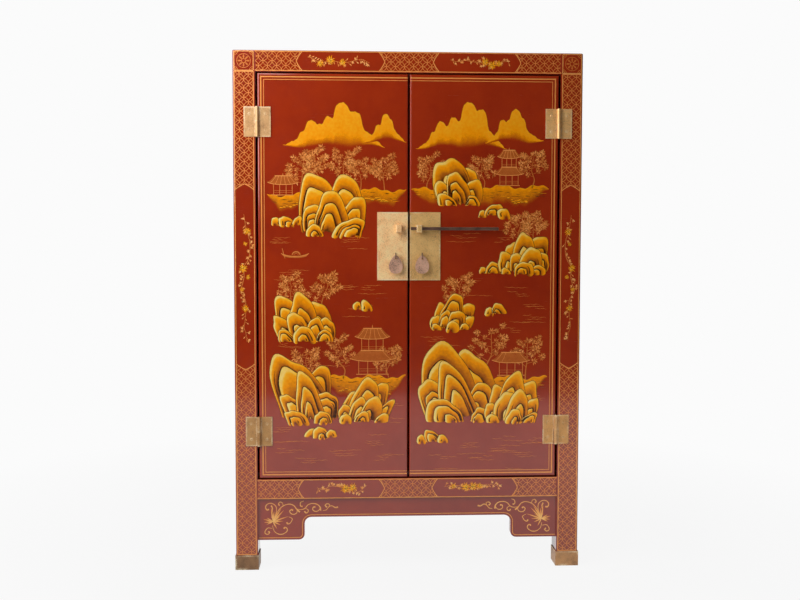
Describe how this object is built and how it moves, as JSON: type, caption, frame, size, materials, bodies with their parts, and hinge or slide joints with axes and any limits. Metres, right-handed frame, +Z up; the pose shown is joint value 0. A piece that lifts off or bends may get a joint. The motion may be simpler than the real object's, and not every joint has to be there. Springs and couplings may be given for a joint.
{
  "type": "two-door cupboard",
  "caption": "Tall red lacquer cupboard on square legs with hinged doors, gilt decoration, brass hinges and lock plates, drop pulls and a sliding lock pin.",
  "frame": {"origin": "on the floor, under the middle of the bounding box", "axes": "+Z up; the doors face -Y; +X to the right as seen from the front"},
  "size_m": [0.8074, 0.4408, 1.2],
  "materials": {
    "red_lacquer": "glossy red lacquer with gilt painting",
    "inside_lacquer": "dark brown lacquer, satin",
    "aged_brass": "hand-hammered brass, mottled with age",
    "dark_bronze": "dark purple-brown patina"
  },
  "bodies": {
    "carcass": {"post_front_left": "red_lacquer", "post_front_right": "red_lacquer", "post_back_left": "red_lacquer", "post_back_right": "red_lacquer", "top_rail_front": "red_lacquer", "top_rail_back": "red_lacquer", "top_rail_left": "red_lacquer", "top_rail_right": "red_lacquer", "bottom_rail_front": "red_lacquer", "bottom_rail_back": "red_lacquer", "bottom_rail_left": "red_lacquer", "bottom_rail_right": "red_lacquer", "back_muntin": "red_lacquer", "side_panel_left": "red_lacquer", "side_panel_right": "red_lacquer", "back_panel_left": "red_lacquer", "back_panel_right": "red_lacquer", "top_panel": "red_lacquer", "bottom_board": "inside_lacquer", "shelf": "inside_lacquer", "shelf_bearer_left": "inside_lacquer", "shelf_bearer_right": "inside_lacquer", "apron_front": "red_lacquer", "apron_left": "red_lacquer", "apron_right": "red_lacquer", "door_stop_top": "inside_lacquer", "door_stop_bottom": "inside_lacquer", "foot_cap_front_left": "aged_brass", "foot_cap_front_right": "aged_brass", "foot_cap_back_left": "aged_brass", "foot_cap_back_right": "aged_brass", "hinge_leaf_post_left_upper": "aged_brass", "hinge_leaf_post_left_lower": "aged_brass", "hinge_leaf_post_right_upper": "aged_brass", "hinge_leaf_post_right_lower": "aged_brass", "hinge_pin_left_upper": "aged_brass", "hinge_pin_left_lower": "aged_brass", "hinge_pin_right_upper": "aged_brass", "hinge_pin_right_lower": "aged_brass"},
    "left_door": {"door_left": "red_lacquer", "door_batten_left_upper": "inside_lacquer", "door_batten_left_lower": "inside_lacquer", "hinge_leaf_door_left_upper": "aged_brass", "hinge_leaf_door_left_lower": "aged_brass", "lock_plate_left": "aged_brass", "lock_staple_left": "aged_brass", "pull_eye_left": "aged_brass"},
    "right_door": {"door_right": "red_lacquer", "door_batten_right_upper": "inside_lacquer", "door_batten_right_lower": "inside_lacquer", "hinge_leaf_door_right_upper": "aged_brass", "hinge_leaf_door_right_lower": "aged_brass", "lock_plate_right": "aged_brass", "lock_staple_right": "aged_brass", "pull_eye_right": "aged_brass"},
    "left_pull": {"pull_left": "dark_bronze"},
    "right_pull": {"pull_right": "dark_bronze"},
    "lock_pin": {"lock_pin": "dark_bronze"}
  },
  "joints": [
    {"name": "left_door_hinge", "type": "hinge", "parent": "carcass", "child": "left_door", "pos_m": [-0.3465, -0.20585, 0.682], "axis": [0, 0, -1], "range_deg": [0, 170]},
    {"name": "right_door_hinge", "type": "hinge", "parent": "carcass", "child": "right_door", "pos_m": [0.3465, -0.20585, 0.682], "axis": [0, 0, 1], "range_deg": [0, 170]},
    {"name": "left_pull_swing", "type": "hinge", "parent": "left_door", "child": "left_pull", "pos_m": [-0.0305, -0.21175, 0.733], "axis": [-1, 0, 0], "range_deg": [0, 100]},
    {"name": "right_pull_swing", "type": "hinge", "parent": "right_door", "child": "right_pull", "pos_m": [0.0305, -0.21175, 0.733], "axis": [-1, 0, 0], "range_deg": [0, 100]},
    {"name": "lock_pin_slide", "type": "slide", "parent": "right_door", "child": "lock_pin", "axis": [1, 0, 0], "range_m": [-0.0555, 0.012]}
  ]
}
